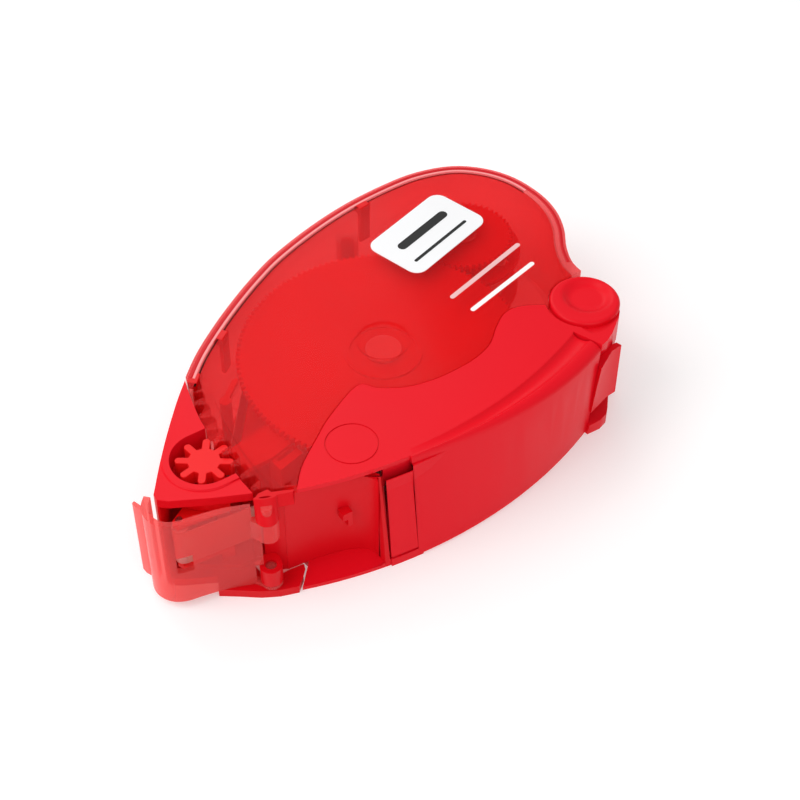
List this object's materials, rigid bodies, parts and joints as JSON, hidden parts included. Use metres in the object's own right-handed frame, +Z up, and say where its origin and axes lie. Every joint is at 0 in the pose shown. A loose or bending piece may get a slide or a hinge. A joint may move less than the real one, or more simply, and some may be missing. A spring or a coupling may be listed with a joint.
{
  "type": "refillable tape roller",
  "caption": "Hand-held refillable tape roller: clear red shell with a swing-out tray that holds two geared spools, an applicator tip under a hinged clear cap, and a toothed pinion.",
  "frame": {"origin": "centre of the roller's outline, on the flat side that it lies on", "axes": "+X from the applicator tip to the rear hinge, +Y from the thumb side to the curved back, +Z up from the flat side; every axle and hinge is parallel to Z"},
  "size_m": [0.1069, 0.0691, 0.024],
  "materials": {
    "clear_red": "clear, polished",
    "shell_red": "translucent, polished",
    "cover_red": "smooth moulded",
    "deep_red": "smooth moulded",
    "spool_red": "satin moulded",
    "core_white": "satin moulded",
    "tape": "glue film on liner",
    "liner": "siliconed paper",
    "steel": "drawn wire",
    "label": "printed",
    "roller": "soft roller",
    "cap_clear": "clear, polished"
  },
  "bodies": {
    "shell": {"window_plate": "clear_red", "back_shell": "shell_red", "window_clips": "deep_red", "name_label": "label"},
    "tray": {"cover_shell": "cover_red", "hinge_knob": "cover_red", "hinge_pin": "steel", "nose_plate": "cover_red", "nose_base": "deep_red", "recess_frame": "deep_red", "tray_floor": "deep_red", "floor_screws": "steel", "supply_axle": "spool_red", "take_up_axle": "spool_red", "pinion_axle": "spool_red", "spool_clips": "core_white", "ratchet_pawl": "spool_red", "guide_pins": "spool_red", "guide_block": "spool_red", "tip_holder": "spool_red", "tip_roller_pin": "steel", "tape_run": "tape", "liner_run": "liner"},
    "latch": {"latch_tongue": "cover_red"},
    "cap": {"tip_cap": "cap_clear"},
    "supply_spool": {"supply_gear": "spool_red", "clutch_washer": "steel", "supply_core": "core_white", "tape_roll": "tape"},
    "take_up": {"take_up_spool": "spool_red", "liner_roll": "liner"},
    "pinion": {"tension_pinion": "spool_red"},
    "roller": {"tip_roller": "roller"}
  },
  "joints": [
    {"name": "tray_swing", "type": "hinge", "parent": "shell", "child": "tray", "pos_m": [0.0418, -0.0154, 0], "axis": [0, 0, 1], "range_deg": [0, 80]},
    {"name": "cap_hinge", "type": "hinge", "parent": "tray", "child": "cap", "pos_m": [-0.0348, -0.0261, 0], "axis": [0, 0, 1], "range_deg": [0, 186]},
    {"name": "latch_press", "type": "hinge", "parent": "tray", "child": "latch", "pos_m": [-0.0083, -0.03153, 0.012], "axis": [0, 0, -1], "range_deg": [0, 5], "stiffness_Nm_per_rad": 0.02},
    {"name": "supply_spin", "type": "hinge", "parent": "tray", "child": "supply_spool", "pos_m": [0.0035, -0.0037, 0], "axis": [0, 0, 1], "continuous": true},
    {"name": "take_up_spin", "type": "hinge", "parent": "tray", "child": "take_up", "pos_m": [0.03515, 0.01585, 0], "axis": [0, 0, 1], "continuous": true},
    {"name": "pinion_spin", "type": "hinge", "parent": "tray", "child": "pinion", "pos_m": [-0.0388, -0.0114, 0], "axis": [0, 0, 1], "range_deg": [0, 1460]},
    {"name": "tip_roller_spin", "type": "hinge", "parent": "tray", "child": "roller", "pos_m": [-0.0472, -0.0168, 0], "axis": [0, 0, 1], "continuous": true}
  ],
  "couplings": [
    {"joint": "take_up_spin", "follows": "supply_spin", "ratio": -2.7959},
    {"joint": "tip_roller_spin", "follows": "supply_spin", "ratio": 13},
    {"joint": "pinion_spin", "follows": "tray_swing", "ratio": 18.25}
  ]
}
